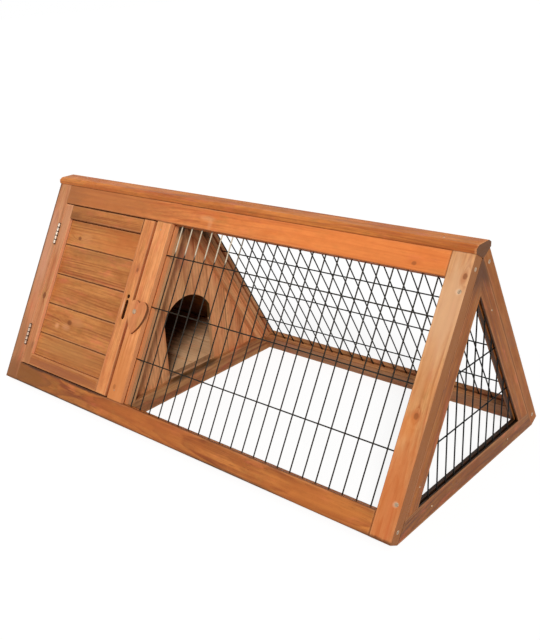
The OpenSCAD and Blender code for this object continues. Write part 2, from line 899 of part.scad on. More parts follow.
// Screw with a flange that holds the button loosely to the jamb
module turn_button_screw() {
    face = 2 * button_gap + button_t;
    slot = 1;
    reach = 2.2;
    color(steel) in_front() translate([pivot_x, button_s, 0])
        difference() {
            union() {
                translate([0, 0, -pivot_grip]) cylinder(h = pivot_grip + face, r = pivot_r);
                translate([0, 0, face]) cylinder(h = flange_t, r = flange_r);
                translate([0, 0, face + flange_t])
                    cylinder(h = pivot_head_h, r1 = pivot_head_r, r2 = pivot_head_r * 0.7);
            }
            for (a = [0, 90])
                rotate([0, 0, a])
                    translate([-reach, -slot / 2, face + flange_t + pivot_head_h / 2])
                        cube([2 * reach, slot, pivot_head_h]);
        }
}

// ---------------------------------------------------------------- wire mesh

module wire_x(x0, x1, y, z)
    translate([x0, y, z]) rotate([0, 90, 0]) cylinder(h = x1 - x0, d = wire_d);

module wire_y(y0, y1, x, z)
    translate([x, y0, z]) rotate([-90, 0, 0]) cylinder(h = y1 - y0, d = wire_d);

// Welded mesh of a side panel between two places along the length
module side_mesh(x0, x1, first_x, first_s) {
    uprights = floor((x1 - x0 - first_x - wire_d) / mesh_pitch);
    rows = floor((bay_h - first_s - wire_d) / mesh_rows);
    for (i = [0:uprights])
        wire_y(rail_w - wire_in, panel_h - rail_w + wire_in,
               x1 - first_x - i * mesh_pitch, -mesh_depth + layer);
    for (i = [0:rows])
        wire_x(x0 - wire_in, x1 + wire_in, rail_w + first_s + i * mesh_rows,
               -mesh_depth - layer);
}

module front_mesh()
    color(dark_wire) in_front()
        side_mesh(jamb_x1, front_right_x, front_wire_x, front_wire_s);

module rear_mesh()
    color(dark_wire) in_rear()
        side_mesh(rear_middle_x1, rear_right_x, rear_wire_x, rear_wire_s);

// Triangular mesh in the right end frame
module end_mesh() {
    // Half width of the frame's opening at the ground, and its apex
    half = inner_half - leg_w / sin_s;
    held = wire_in / sin_s;
    sides = floor((half - (end_rail_h + shortest_wire) / tan_s) / mesh_pitch);
    rows = floor(((half - mesh_pitch / 2) * tan_s - end_rail_h - end_wire_z) / end_mesh_rows);
    mid = run_len / 2 - end_mesh_depth;
    color(dark_wire) {
        for (i = [-sides:sides]) {
            y = i * mesh_pitch;
            top = (half + held - abs(y)) * tan_s;
            translate([mid + layer, y, end_rail_h - wire_in])
                cylinder(h = top - end_rail_h + wire_in, d = wire_d);
        }
        for (i = [0:rows]) {
            z = end_rail_h + end_wire_z + i * end_mesh_rows;
            reach = half + held - z / tan_s;
            wire_y(-reach, reach, mid - layer, z);
        }
    }
}

// ---------------------------------------------------------------- assembly

front_left_post();
front_right_post();
front_top_rail();
front_bottom_rail();
front_jamb();
rear_left_post();
rear_right_post();
rear_top_rail();
rear_bottom_rail();
rear_middle_post();
ridge_cap();
right_front_leg();
right_rear_leg();
right_bottom_rail();
left_front_leg();
left_rear_leg();
left_bottom_rail();
left_wall_board(1);  // left_wall_board_1
left_wall_board(2);  // left_wall_board_2
left_wall_board(3);  // left_wall_board_3
left_wall_board(4);  // left_wall_board_4
rear_wall_board(1);  // rear_wall_board_1
rear_wall_board(2);  // rear_wall_board_2
rear_wall_board(3);  // rear_wall_board_3
rear_wall_board(4);  // rear_wall_board_4
rear_wall_board(5);  // rear_wall_board_5
partition_front_leg();
partition_rear_leg();
partition_bottom_rail();
partition_front_board();
partition_middle_board();
partition_rear_board();
floor_left_bearer();
floor_right_bearer();
floor_board(1);  // floor_board_1
floor_board(2);  // floor_board_2
floor_board(3);  // floor_board_3
floor_board(4);  // floor_board_4
door_left_stile();
door_right_stile();
door_top_rail();
door_bottom_rail();
door_board(1);  // door_board_1
door_board(2);  // door_board_2
door_board(3);  // door_board_3
door_board(4);  // door_board_4
door_board(5);  // door_board_5
door_stop();
hinge_post_leaves();
hinge_door_leaves();
hinge_pins();
hinge_post_screws();
hinge_door_screws();
turn_button();
turn_button_screw();
front_mesh();
rear_mesh();
end_mesh();
frame_screws();
frame_nails();
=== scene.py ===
import bpy
import math
from mathutils import Matrix, Vector


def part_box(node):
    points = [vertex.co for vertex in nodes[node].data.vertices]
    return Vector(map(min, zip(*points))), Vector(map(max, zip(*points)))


# Outdoor rabbit run: wood, metal, ground, light and camera round the part's own meshes.
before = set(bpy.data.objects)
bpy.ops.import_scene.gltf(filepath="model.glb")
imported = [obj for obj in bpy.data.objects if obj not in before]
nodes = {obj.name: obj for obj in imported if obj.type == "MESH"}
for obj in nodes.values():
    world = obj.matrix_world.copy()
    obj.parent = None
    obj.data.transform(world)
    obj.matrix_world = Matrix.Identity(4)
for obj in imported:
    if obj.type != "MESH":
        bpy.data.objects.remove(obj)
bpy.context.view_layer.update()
scene = bpy.context.scene

# ------------------------------------------------------------------ place and size
# A panel's frame of reference, as in the part: x along the run from its left end, s up the
# slope from the lower edge of the face, n out of the face. Metres.
LENGTH = 1.180
HALF_W = 0.285883  # from the middle plane to the lower edge of a panel's face
FOOT = 0.0135  # that edge's height above the ground
SLOPE = math.radians(60)
COS_S = math.cos(SLOPE)
SIN_S = math.sin(SLOPE)


def on_panel(x, s, n=0.0, rear=False):
    """A place given in a panel's frame, in the frame of the whole run."""
    y = -HALF_W + s * COS_S - n * SIN_S
    z = FOOT + s * SIN_S + n * COS_S
    return Vector((x - LENGTH / 2, -y if rear else y, z))


X = Vector((1, 0, 0))
Y = Vector((0, 1, 0))
Z = Vector((0, 0, 1))
UP_FRONT = Vector((0, COS_S, SIN_S))
OUT_FRONT = Vector((0, -SIN_S, COS_S))
UP_REAR = Vector((0, -COS_S, SIN_S))
OUT_REAR = Vector((0, SIN_S, COS_S))

END_X = 0.59  # the end frames' outer faces
LEG_Y = 0.26  # the feet of the legs
PARTITION_X = -0.149  # the partition's frame, on the run's side
BOARD_X = -0.166  # the face of its boards


# ------------------------------------------------------------------ node helpers
class Graph:
    """Adds nodes to a tree and links them."""

    def __init__(self, tree):
        self.tree = tree

    def node(self, kind, **settings):
        made = self.tree.nodes.new(kind)
        for key, value in settings.items():
            setattr(made, key, value)
        return made

    def put(self, socket, value):
        """Links an output to the socket, or sets it to a number, colour or vector."""
        if value is None:
            return
        if isinstance(value, bpy.types.NodeSocket):
            self.tree.links.new(value, socket)
        else:
            socket.default_value = value

    def math(self, op, a, b=None, clamp=False):
        n = self.node("ShaderNodeMath", operation=op, use_clamp=clamp)
        self.put(n.inputs[0], a)
        self.put(n.inputs[1], b)
        return n.outputs[0]

    def plus_share(self, value, part, share):
        """The value, with that share of another added to it."""
        return self.math("ADD", value, self.math("MULTIPLY", part, share))

    def plus_swing(self, value, noise, share):
        """The value, swung up and down by a noise that runs from 0 to 1."""
        return self.plus_share(value, self.math("SUBTRACT", noise, 0.5), share)

    def vec(self, op, a, b=None):
        n = self.node("ShaderNodeVectorMath", operation=op)
        self.put(n.inputs[0], a)
        self.put(n.inputs[1], b)
        return n.outputs["Value"] if op in ("LENGTH", "DOT_PRODUCT") else n.outputs[0]

    def noise(self, vector, scale, detail=2.0, rough=0.5):
        n = self.node("ShaderNodeTexNoise")
        self.put(n.inputs["Vector"], vector)
        n.inputs["Scale"].default_value = scale
        n.inputs["Detail"].default_value = detail
        n.inputs["Roughness"].default_value = rough
        return n.outputs["Fac"]

    def ramp(self, value, stops):
        """A grey that runs straight from stop to stop. A stop is (place, grey)."""
        n = self.node("ShaderNodeValToRGB")
        self.put(n.inputs[0], value)
        points = n.color_ramp.elements
        while len(points) < len(stops):
            points.new(0.5)
        for point, (at, grey) in zip(points, stops):
            point.position = at
            point.color = (grey, grey, grey, 1)
        return n.outputs[0]

    def span(self, value, a, b, to_a=0.0, to_b=1.0):
        """Goes softly from to_a to to_b, while the value goes from a to b."""
        n = self.node("ShaderNodeMapRange", interpolation_type="SMOOTHSTEP")
        for socket, v in zip(n.inputs, (value, a, b, to_a, to_b)):
            self.put(socket, v)
        return n.outputs[0]

    def mix(self, factor, a, b, mode="MIX"):
        n = self.node("ShaderNodeMix", data_type="RGBA", blend_type=mode)
        self.put(n.inputs["Factor"], factor)
        self.put(n.inputs[6], a)
        self.put(n.inputs[7], b)
        return n.outputs[2]

    def scaled(self, vector, factors):
        return self.vec("MULTIPLY", vector, factors)

    def split(self, vector):
        n = self.node("ShaderNodeSeparateXYZ")
        self.put(n.inputs[0], vector)
        return n.outputs

    def join(self, x, y, z):
        n = self.node("ShaderNodeCombineXYZ")
        for socket, v in zip(n.inputs, (x, y, z)):
            self.put(socket, v)
        return n.outputs[0]


def linear(rgb):
    """A colour written as 0-255 screen values, in the renderer's linear values."""
    out = []
    for c in rgb:
        c /= 255.0
        out.append(c / 12.92 if c <= 0.04045 else ((c + 0.055) / 1.055) ** 2.4)
    return tuple(out) + (1.0,)


def seed_of(name):
    """A steady number from a piece's name."""
    n = 7
    for ch in name:
        n = (n * 131 + ord(ch)) % 100003
    return n / 100003.0


# ------------------------------------------------------------------ timber
# What all the timber shares. Colours here and below are screen values from 0 to 255.
RED_TINT = (214, 112, 78)
OLIVE_TINT = (166, 122, 60)
FLECK = (116, 62, 28)
KNOT_LIGHT, KNOT_DARK = (128, 64, 30), (84, 38, 16)
HEART_LIGHT, HEART_DARK = (148, 84, 40), (98, 52, 24)
WORN_EDGE = (236, 172, 118)
JOINT_DIRT_AND_SHADE = (92, 44, 14)
PITH_DRIFT = 0.05  # how far the pith wanders
# metres from a piece's edge where wear and the dark line along the edges start, and where
# they are full, and how far these borders swing. The dark line is partly dirt in the joints,
# partly painted shade along every edge
WORN_REACH = (0.0055, 0.0016)
JOINT_REACH = (0.0028, 0.0008)
EDGE_RAGGED = 0.0022
FACE_DEPTH = 0.03  # how deep a stain on the face reaches
PATCH_DEPTH = 0.016  # how far a stain inside the wood reaches up and down
HOLLOW_SOFT = 0.0004  # the soft border of the painted shade in a hollow


def new_group(name, inputs, outputs):
    """An empty node group with its sockets, its graph, and the ends to link."""
    tree = bpy.data.node_groups.new(name, "ShaderNodeTree")
    for way, sockets in (("INPUT", inputs), ("OUTPUT", outputs)):
        for label, kind in sockets:
            tree.interface.new_socket(label, in_out=way, socket_type="NodeSocket" + kind)
    g = Graph(tree)
    return g, g.node("NodeGroupInput").outputs, g.node("NodeGroupOutput").inputs


def timber_group():
    """Solid softwood: growth rings round a pith that wanders, fibres, blotches of stain.
    The vector is in metres: along the grain, across the face, out of the wood. Low and
    High are the piece's two corners in the same directions."""
    g, i, o = new_group(
        "timber",
        (("Vector", "Vector"), ("Pith", "Vector"), ("Low", "Vector"), ("High", "Vector"),
         ("Shift", "Float"), ("Knot phase", "Float"), ("Knot", "Float"), ("Light", "Color"),
         ("Dark", "Color"), ("Stain", "Color"), ("Contrast", "Float"), ("Rings", "Float"),
         ("Joint", "Float"), ("Wear", "Float"), ("Fleck", "Float")),
        (("Color", "Color"), ("Roughness", "Float"), ("Height", "Float")))
    shifted = g.vec("ADD", i["Vector"], g.join(i["Shift"], i["Shift"], 0.0))

    def layer(along, across, detail=2.0, rough=0.55):
        """A noise with that many features a metre along and across the grain."""
        return g.noise(g.scaled(shifted, (along, across, across)), 1.0, detail, rough)

    # the pith wanders, so the rings open into long cathedrals
    slow = g.node("ShaderNodeTexNoise")
    g.put(slow.inputs["Vector"], g.scaled(shifted, (1.6, 5.0, 5.0)))
    slow.inputs["Scale"].default_value = 1.0
    slow.inputs["Detail"].default_value = 1.5
    drift = g.scaled(g.vec("SUBTRACT", slow.outputs["Color"], (0.5, 0.5, 0.5)),
                     (0.0, PITH_DRIFT, PITH_DRIFT))
    from_pith = g.scaled(g.vec("ADD", g.vec("SUBTRACT", i["Vector"], i["Pith"]), drift),
                         (0.0, 1.0, 1.0))
    phase = g.math("MULTIPLY", g.vec("LENGTH", from_pith), i["Rings"])
    phase = g.plus_share(phase, layer(7.0, 60.0), 1.1)
    phase = g.math("ADD", phase, i["Knot phase"])
    ring = g.math("FRACT", phase)
    late = g.ramp(ring, ((0.0, 0.05), (0.38, 0.12), (0.78, 0.85), (0.9, 1.0), (1.0, 0.05)))
    # years differ in strength
    year = g.noise(g.join(g.math("FLOOR", phase), i["Shift"], 0.0), 0.83, 1.0)
    late = g.math("MULTIPLY", late, g.span(year, 0.3, 0.7, 0.2, 1.0))

    fibre = layer(14.0, 900.0, 3.0, 0.6)
    streak = layer(3.0, 130.0)
    band = layer(2.2, 38.0)
    blotch = layer(9.0, 26.0, 4.0, 0.6)
    mottle = layer(42.0, 110.0, 3.0, 0.6)
    grain = g.math("MULTIPLY", late, i["Contrast"])
    for part, size in ((fibre, 0.9), (streak, 1.5), (band, 2.1)):
        grain = g.plus_swing(grain, part, size)
    colour = g.mix(g.math("ADD", grain, 0.15, clamp=True), i["Light"], i["Dark"])
    colour = g.mix(g.span(blotch, 0.42, 0.68, 0.0, 0.75), colour, i["Stain"])
    # the stain took unevenly: some places redder, some more olive
    tint = layer(15.0, 45.0, 3.0, 0.6)
    colour = g.mix(g.span(tint, 0.52, 0.75, 0.0, 0.42), colour, linear(RED_TINT))
    colour = g.mix(g.span(tint, 0.46, 0.25, 0.0, 0.36), colour, linear(OLIVE_TINT))
    fleck = g.span(layer(34.0, 260.0, 3.0, 0.65), 0.56, 0.70)
    colour = g.mix(g.math("MULTIPLY", fleck, i["Fleck"]), colour, linear(FLECK))
    broad = layer(2.6, 24.0, 3.0)
    shade = g.math("ADD", 0.50, g.math("ADD", g.math("MULTIPLY", mottle, 0.5),
                                       g.math("MULTIPLY", broad, 0.5)))
    colour = g.mix(1.0, colour, g.join(shade, shade, shade), "MULTIPLY")
    speck = layer(300.0, 300.0, 2.0, 0.5)
    colour = g.mix(i["Knot"], colour, g.mix(speck, linear(KNOT_LIGHT), linear(KNOT_DARK)))

    # distance to the piece's nearest edge: the middle one of its three distances to a face
    inward = g.vec("MINIMUM", g.vec("SUBTRACT", i["Vector"], i["Low"]),
                   g.vec("SUBTRACT", i["High"], i["Vector"]))
    du, dv, dw = g.split(inward)[:3]
    most = g.math("MAXIMUM", du, g.math("MAXIMUM", dv, dw))
    edge = g.math("SUBTRACT", g.math("ADD", du, g.math("ADD", dv, dw)), most)
    edge = g.plus_swing(edge, mottle, EDGE_RAGGED)
    worn = g.math("MULTIPLY", g.span(edge, *WORN_REACH), g.span(blotch, 0.35, 0.6, 0.25, 1.0))
    colour = g.mix(g.math("MULTIPLY", worn, i["Wear"]), colour, linear(WORN_EDGE))
    joint = g.math("MULTIPLY", g.span(edge, *JOINT_REACH), i["Joint"])
    colour = g.mix(joint, colour, linear(JOINT_DIRT_AND_SHADE))
    g.put(o["Color"], colour)
    g.put(o["Roughness"], g.plus_swing(g.span(late, 0.0, 1.0, 0.60, 0.50), blotch, 0.25))
    height = g.math("ADD", g.math("MULTIPLY", late, 0.35), g.math("MULTIPLY", fibre, 0.65))
    g.put(o["Height"], g.plus_share(height, i["Knot"], 0.8))
    return g.tree


def knot_group():
    """One knot: bends the rings round itself and adds its mask."""
    g, i, o = new_group(
        "knot",
        (("Vector", "Vector"), ("At", "Vector"), ("Radius", "Float"), ("Phase", "Float"),
         ("Mask", "Float"), ("Strength", "Float")),
        (("Phase", "Float"), ("Mask", "Float")))
    off = g.vec("SUBTRACT", i["Vector"], i["At"])
    # the rings bend round it, further along the grain than across
    far = g.math("DIVIDE", g.vec("LENGTH", g.scaled(off, (0.32, 1.0, 0.2))), i["Radius"])
    bend = g.math("EXPONENT", g.math("MULTIPLY", g.math("MULTIPLY", far, far), -0.30))
    g.put(o["Phase"], g.plus_share(i["Phase"], bend, 2.2))
    # its own disc, a little longer than wide, with a darker rim
    near = g.math("DIVIDE", g.vec("LENGTH", g.scaled(off, (0.75, 1.0, 0.25))), i["Radius"])
    near = g.plus_swing(near, g.noise(i["Vector"], 160.0, 2.0), 0.7)
    disc = g.span(near, 1.5, 0.5)
    rim = g.span(g.math("ABSOLUTE", g.math("SUBTRACT", near, 0.95)), 0.4, 0.0)
    mask = g.math("ADD", g.math("MULTIPLY", disc, 0.8), g.math("MULTIPLY", rim, 0.2))
    g.put(o["Mask"], g.math("ADD", i["Mask"], g.math("MULTIPLY", mask, i["Strength"]),
                            clamp=True))
    return g.tree


def stain_group():
    """One soft patch of another colour, with a ragged border drawn out along the grain."""
    g, i, o = new_group(
        "stain",
        (("Color", "Color"), ("Vector", "Vector"), ("At", "Vector"), ("Spread", "Vector"),
         ("Tint", "Color"), ("Strength", "Float")),
        (("Color", "Color"),))
    off = g.vec("SUBTRACT", i["Vector"], i["At"])
    away = g.vec("LENGTH", g.vec("DIVIDE", off, i["Spread"]))
    ragged = g.noise(g.scaled(i["Vector"], (22.0, 90.0, 90.0)), 1.0, 3.0, 0.6)
    away = g.plus_swing(away, ragged, 0.9)
    mask = g.math("MULTIPLY", g.span(away, 1.2, 0.3), i["Strength"])
    g.put(o["Color"], g.mix(mask, i["Color"], i["Tint"]))
    return g.tree


TIMBER = timber_group()
KNOT = knot_group()
STAIN = stain_group()

# Stained softwood, as light earlywood, dark latewood and stain
TONES = {
    "rail": ((219, 131, 70), (184, 94, 45), (197, 107, 53)),
    "sill": ((186, 112, 54), (140, 71, 31), (163, 89, 41)),
    "cap": ((209, 125, 58), (171, 89, 38), (187, 101, 45)),
    "post_left": ((194, 132, 90), (166, 98, 60), (181, 113, 74)),
    "post_right": ((218, 154, 98), (182, 107, 56), (200, 125, 70)),
    "jamb": ((229, 153, 96), (202, 117, 62), (213, 131, 77)),
    "board": ((189, 121, 64), (150, 82, 37), (165, 95, 45)),
    "door_rail": ((183, 114, 59), (147, 78, 35), (160, 89, 41)),
    "stile_left": ((199, 133, 88), (164, 94, 55), (182, 109, 67)),
    "stile_right": ((222, 145, 87), (185, 102, 56), (203, 118, 67)),
    "heart": ((214, 139, 88), (191, 110, 64), (200, 123, 75)),
    "leg": ((165, 98, 44), (127, 67, 26), (144, 79, 33)),
    "cross": ((146, 88, 40), (106, 55, 21), (126, 66, 27)),
    "wall": ((225, 160, 109), (183, 112, 68), (205, 133, 86)),
    "wall_rail": ((170, 118, 74), (137, 80, 45), (149, 94, 54)),
    "wall_leg": ((197, 143, 98), (171, 107, 64), (183, 122, 79)),
    "floor": ((226, 180, 138), (186, 136, 94), (206, 156, 116)),
    "rear": ((180, 122, 76), (142, 86, 48), (160, 102, 60)),
    "back": ((190, 122, 62), (148, 86, 40), (166, 100, 48)),
    "rear_post": ((175, 105, 46), (138, 74, 29), (155, 87, 37)),
}
SPREAD = 1.45  # how much further apart light and dark are taken


def spread_out(tone):
    """The tone's colours, with light and dark further from their middle."""
    light, dark, stain = tone
    middle = [(a + b) / 2 for a, b in zip(light, dark)]
    return [tuple(m + (c - m) * SPREAD for c, m in zip(colour, middle))
            for colour in (light, dark)] + [stain]


def reach(node, axes, origin):
    """Lowest and highest corner of a node, in its wood's own directions."""
    turn = axes.transposed()
    points = [turn @ (v.co - origin) for v in nodes[node].data.vertices]
    return [tuple(pick(p[k] for p in points) for k in range(3)) for pick in (min, max)]


def add_knots(g, at, knots):
    """Chains the knots. Returns how they bend the rings, and their mask."""
    phase = mask = 0.0
    for u, v, radius, strength in knots:
        k = g.node("ShaderNodeGroup", node_tree=KNOT)
        for label, value in (("Vector", at), ("At", (u, v, 0.0)), ("Radius", radius),
                             ("Strength", strength), ("Phase", phase), ("Mask", mask)):
            g.put(k.inputs[label], value)
        phase, mask = k.outputs["Phase"], k.outputs["Mask"]
    return phase, mask


def add_stains(g, at, colour, stains):
    """Lays the stains over the colour, in their order."""
    for u, v, half_u, half_v, tint, strength, *height in stains:
        k = g.node("ShaderNodeGroup", node_tree=STAIN)
        spread = (half_u, half_v, PATCH_DEPTH if height else FACE_DEPTH)
        for label, value in (("Color", colour), ("Vector", at), ("Spread", spread),
                             ("At", (u, v, *(height or [0.0]))), ("Tint", linear(tint)),
                             ("Strength", strength)):
            g.put(k.inputs[label], value)
        colour = k.outputs["Color"]
    return colour


def inside_box(g, at, box):
    """One inside a box, nought outside it."""
    inside = 1.0
    for axis, (a, b) in zip(g.split(at)[:3], box):
        for border, full in ((a, a + HOLLOW_SOFT), (b, b - HOLLOW_SOFT)):
            inside = g.math("MULTIPLY", inside, g.span(axis, border, full))
    return inside


def timber(node, tone, along, out, origin, knots=(), stains=(), rings=230.0, contrast=0.55,
           pith=None, joint=0.55, wear=0.35, fleck=0.25, sawn=0.25, side=(96, 50, 20),
           ends=0.5, end_grain=(104, 62, 30), hollow=None, hollow_shade=(78, 38, 14)):
    """Gives a CAD node a wood of that tone, its grain along a direction, its face to out.
    Places in the wood are metres along the grain, across the face and out of it, from the
    origin.

    knots: each is (along, across, radius, strength).
    stains: each is (along, across, half length, half width, colour, strength), and may end
        in a height in the wood, if it is not on the face.
    rings, contrast, pith: growth rings a metre, their strength, and a place on the pith.
    joint, wear, fleck: strength of the dark line along the edges, partly dirt in the joints
    and
        partly painted shade, of the edges' wear, and of small dark flecks.
    sawn, ends: how far the side faces go towards the side colour, and the cut
        ends towards the end grain's. The side colour is partly the cut faces' own stain and
        partly painted light and shade on the side faces.
    hollow: a box, as its reach in the three directions, in which the wood is painted dark as
        the shade inside a recess."""
    light, dark, stain = (linear(c) for c in spread_out(TONES[tone]))
    seed = seed_of(node)
    # where none is given, the pith lies 20 to 70 mm behind the face
    if pith is None:
        pith = (0.0, 0.03 * math.sin(seed * 40), -0.02 - 0.05 * ((seed * 7.3) % 1.0))
    material, g, shader = new_material(node + "_wood")
    coords = g.node("ShaderNodeTexCoord").outputs
    place = g.node("ShaderNodeMapping", vector_type="TEXTURE")
    g.put(place.inputs["Vector"], coords["Object"])
    place.inputs["Location"].default_value = origin
    axes = Matrix((along, out.cross(along), out)).transposed()
    place.inputs["Rotation"].default_value = axes.to_euler("XYZ")
    at = place.outputs[0]
    low, high = reach(node, axes, origin)
    phase, mask = add_knots(g, at, knots)
    w = g.node("ShaderNodeGroup", node_tree=TIMBER)
    for label, value in (("Vector", at), ("Knot phase", phase), ("Knot", mask),
                         ("Pith", pith), ("Low", low), ("High", high), ("Shift", seed * 37.0),
                         ("Light", light), ("Dark", dark), ("Stain", stain),
                         ("Contrast", contrast), ("Rings", rings), ("Joint", joint),
                         ("Wear", wear), ("Fleck", fleck)):
        g.put(w.inputs[label], value)
    colour = add_stains(g, at, w.outputs["Color"], stains)
    if knots:
        heart = g.mix(g.noise(at, 420.0, 2.0), linear(HEART_LIGHT), linear(HEART_DARK))
        colour = g.mix(g.math("MULTIPLY", mask, 0.9), colour, heart)
    # the side faces go towards the side colour: partly the cut faces' own stain, partly
    # painted light and shade
    facing = g.math("ABSOLUTE", g.vec("DOT_PRODUCT", coords["Normal"], tuple(out)))
    colour = g.mix(g.span(facing, 0.75, 0.35, 0.0, sawn), colour, linear(side))
    cut = g.math("ABSOLUTE", g.vec("DOT_PRODUCT", coords["Normal"], tuple(along)))
    colour = g.mix(g.span(cut, 0.6, 0.85, 0.0, ends), colour, linear(end_grain))
    # painted shade inside the hollow
    if hollow:
        colour = g.mix(inside_box(g, at, hollow), colour, linear(hollow_shade))
    g.put(shader.inputs["Base Color"], colour)
    g.put(shader.inputs["Roughness"], w.outputs["Roughness"])
    shader.inputs["Specular IOR Level"].default_value = 0.25
    add_bump(g, shader, w.outputs["Height"], 0.35, 0.0005)
    dress(node, material)


def new_material(name):
    """A material with its graph and its surface shader."""
    material = bpy.data.materials.new(name)
    material.use_nodes = True
    tree = material.node_tree
    shader = next(n for n in tree.nodes if n.type == "BSDF_PRINCIPLED")
    return material, Graph(tree), shader


def add_bump(g, shader, height, strength, distance):
    bump = g.node("ShaderNodeBump")
    bump.inputs["Strength"].default_value = strength
    bump.inputs["Distance"].default_value = distance
    g.put(bump.inputs["Height"], height)
    g.put(shader.inputs["Normal"], bump.outputs[0])


def dress(node, material):
    """Gives a CAD node that material alone."""
    mesh = nodes[node].data
    mesh.materials.clear()
    mesh.materials.append(material)


def upright(node, tone, rear=False, **more):
    """Timber of a panel with its grain up the slope. Across the face is -x on the front
    panel, and x on the rear one."""
    up, out = (UP_REAR, OUT_REAR) if rear else (UP_FRONT, OUT_FRONT)
    timber(node, tone, up, out, on_panel(0.0, 0.0, rear=rear), **more)


def level(node, tone, rear=False, **more):
    """Timber of a panel with its grain along the run. Across the face is up the slope."""
    up, out = (UP_REAR, OUT_REAR) if rear else (UP_FRONT, OUT_FRONT)
    timber(node, tone, up.cross(out), out, on_panel(0.0, 0.0, rear=rear), **more)


# ------------------------------------------------------------------ metal
# The hinges' knuckles, on the panel's slope
HINGE_LOW = 0.123  # the lower hinge's middle
HINGE_STEP = 0.269  # from there to the upper hinge's middle
BETWEEN_HINGES = 0.25
KNUCKLE = 0.01086  # one knuckle's length
HALF_KNUCKLES = 2.5  # half of a hinge's five knuckles
KNUCKLE_GAP_SHADE = (46, 30, 20)
LOW_HINGE_TINT = (150, 108, 78)
# A painted glint of light on the front wires: above a place on the slope, over the partition
WIRE_GLINT = (226, 210, 184)
GLINT_FROM, GLINT_SOFT = 0.412, 0.012
GLINT_UP_TO = (0.67, 0.62)  # along the run: where it has faded out, and where it is full


def painted_glint(g, at, up_slope, cloud, colour):
    """Paints a glint of light on the wires' coat at the upper ends of the wires over the
    partition.
    """
    above = g.span(g.plus_share(up_slope, cloud, 0.01), GLINT_FROM, GLINT_FROM + GLINT_SOFT,
                   0.0, 0.8)
    along_run = g.math("ADD", g.split(at)[0], LENGTH / 2)
    glint = g.math("MULTIPLY", above, g.span(along_run, *GLINT_UP_TO))
    return g.mix(glint, colour, linear(WIRE_GLINT))


def knuckle_gaps(g, up_slope, colour):
    """The dark gaps between the knuckles of both hinges, painted as their shade. The lower
    hinge is browner.
    """
    upper = g.math("GREATER_THAN", up_slope, BETWEEN_HINGES)
    middle = g.math("ADD", HINGE_LOW, g.math("MULTIPLY", upper, HINGE_STEP))
    turns = g.math("ADD", g.math("DIVIDE", g.math("SUBTRACT", up_slope, middle), KNUCKLE),
                   HALF_KNUCKLES)
    gap = g.math("PINGPONG", turns, 0.5)
    brown = g.math("SUBTRACT", 0.45, g.math("MULTIPLY", upper, 0.40))
    colour = g.mix(brown, colour, linear(LOW_HINGE_TINT))
    return g.mix(g.span(gap, 0.17, 0.09, 0.0, 0.95), colour, linear(KNUCKLE_GAP_SHADE))


def metal(name, base, rough, metallic, bump_size=0.0001, spots=None, specular=0.5,
          knuckles=False, glint=False):
    """Bare or coated metal, clouded, and spotted with rust of that colour."""
    material, g, shader = new_material(name)
    at = g.node("ShaderNodeTexCoord").outputs["Object"]
    cloud = g.noise(at, 320.0, 3.0, 0.6)
    dark = linear(tuple(c * 0.72 for c in base))
    colour = g.mix(g.span(cloud, 0.35, 0.7), linear(base), dark)
    if spots:
        rust = g.span(g.noise(at, 900.0, 3.0, 0.6), 0.62, 0.74, 0.0, 0.6)
        colour = g.mix(rust, colour, linear(spots))
    up_slope = g.math("SUBTRACT", g.vec("DOT_PRODUCT", at, tuple(UP_FRONT)),
                      on_panel(0.0, 0.0).dot(UP_FRONT))
    if glint:
        colour = painted_glint(g, at, up_slope, cloud, colour)
    if knuckles:
        colour = knuckle_gaps(g, up_slope, colour)
    g.put(shader.inputs["Base Color"], colour)
    g.put(shader.inputs["Roughness"], g.plus_swing(rough, cloud, 0.24))
    shader.inputs["Specular IOR Level"].default_value = specular
    shader.inputs["Metallic"].default_value = metallic
    add_bump(g, shader, g.math("ADD", g.noise(at, 2600.0, 2.0), cloud), 0.3, bump_size)
    return material


# ------------------------------------------------------------------ dress the timber
# The stains' colours that have a name. Some of them are painted light and shade
ASH = (212, 156, 124)
PALE = (228, 168, 122)
DARK = (112, 66, 32)
SHADE = (54, 40, 20)  # painted shade: deep corners, the shadow under the top rails, and on the shelter's floor
GAP_SHADE = (66, 32, 12)  # painted shade of the door's gap, on the upper edge of the front bottom rail
EDGE_SHADE = (62, 36, 16)  # painted shade on the outer edges, at the ground and on the left
SILL_SHADE = (76, 52, 26)  # painted shade on the partition's sill, under the doorway
DOORWAY_FOOT_LIGHT = (210, 164, 120)  # painted light at the doorway's foot
# a painted pool of light on the shelter's floor, inside the doorway
FLOOR_LIGHT_POOL = (250, 198, 148)
BARE = (240, 202, 168)  # round the screws of the right post
ALL_ALONG = 3.0  # a stain's half length or width that reaches past every piece's ends

level("front_top_rail", "rail", contrast=0.55, pith=(0, 0.44, -0.07), rings=200, joint=0.65,
      knots=((1.069, 0.487, 0.0032, 0.7),),
      stains=((0.16, 0.50, 0.34, 0.05, (172, 104, 56), 0.75),
              (0.04, 0.49, 0.09, 0.05, (150, 94, 54), 0.5),
              (1.068, 0.489, 0.020, 0.006, (182, 98, 50), 0.7),
              (0.545, 0.500, 0.026, 0.007, PALE, 0.35),
              (0.556, 0.488, 0.008, 0.014, PALE, 0.3),
              (0.98, 0.5, 0.42, 0.06, (242, 134, 62), 0.5)))
# painted shade: the dark line along its upper edge under the door's gap, the dark strip along
# its lower edge, and its darker top face
level("front_bottom_rail", "sill", pith=(0, 0.03, -0.06), contrast=0.9, rings=200, joint=0.7,
      fleck=0.6, sawn=0.6,
      stains=((0.08, 0.024, 0.15, 0.04, (128, 78, 34), 0.85),
              (0.28, 0.012, 0.10, 0.012, DARK, 0.35),
              (0.14, 0.0475, 0.13, 0.0052, GAP_SHADE, 0.95),
              (0.31, 0.0475, 0.12, 0.0052, GAP_SHADE, 0.95),
              (0.60, -0.001, ALL_ALONG, 0.0065, EDGE_SHADE, 0.85),
              (0.56, 0.03, 0.20, 0.04, (172, 94, 42), 0.6),
              (1.02, 0.02, 0.16, 0.03, (194, 112, 50), 0.6)))
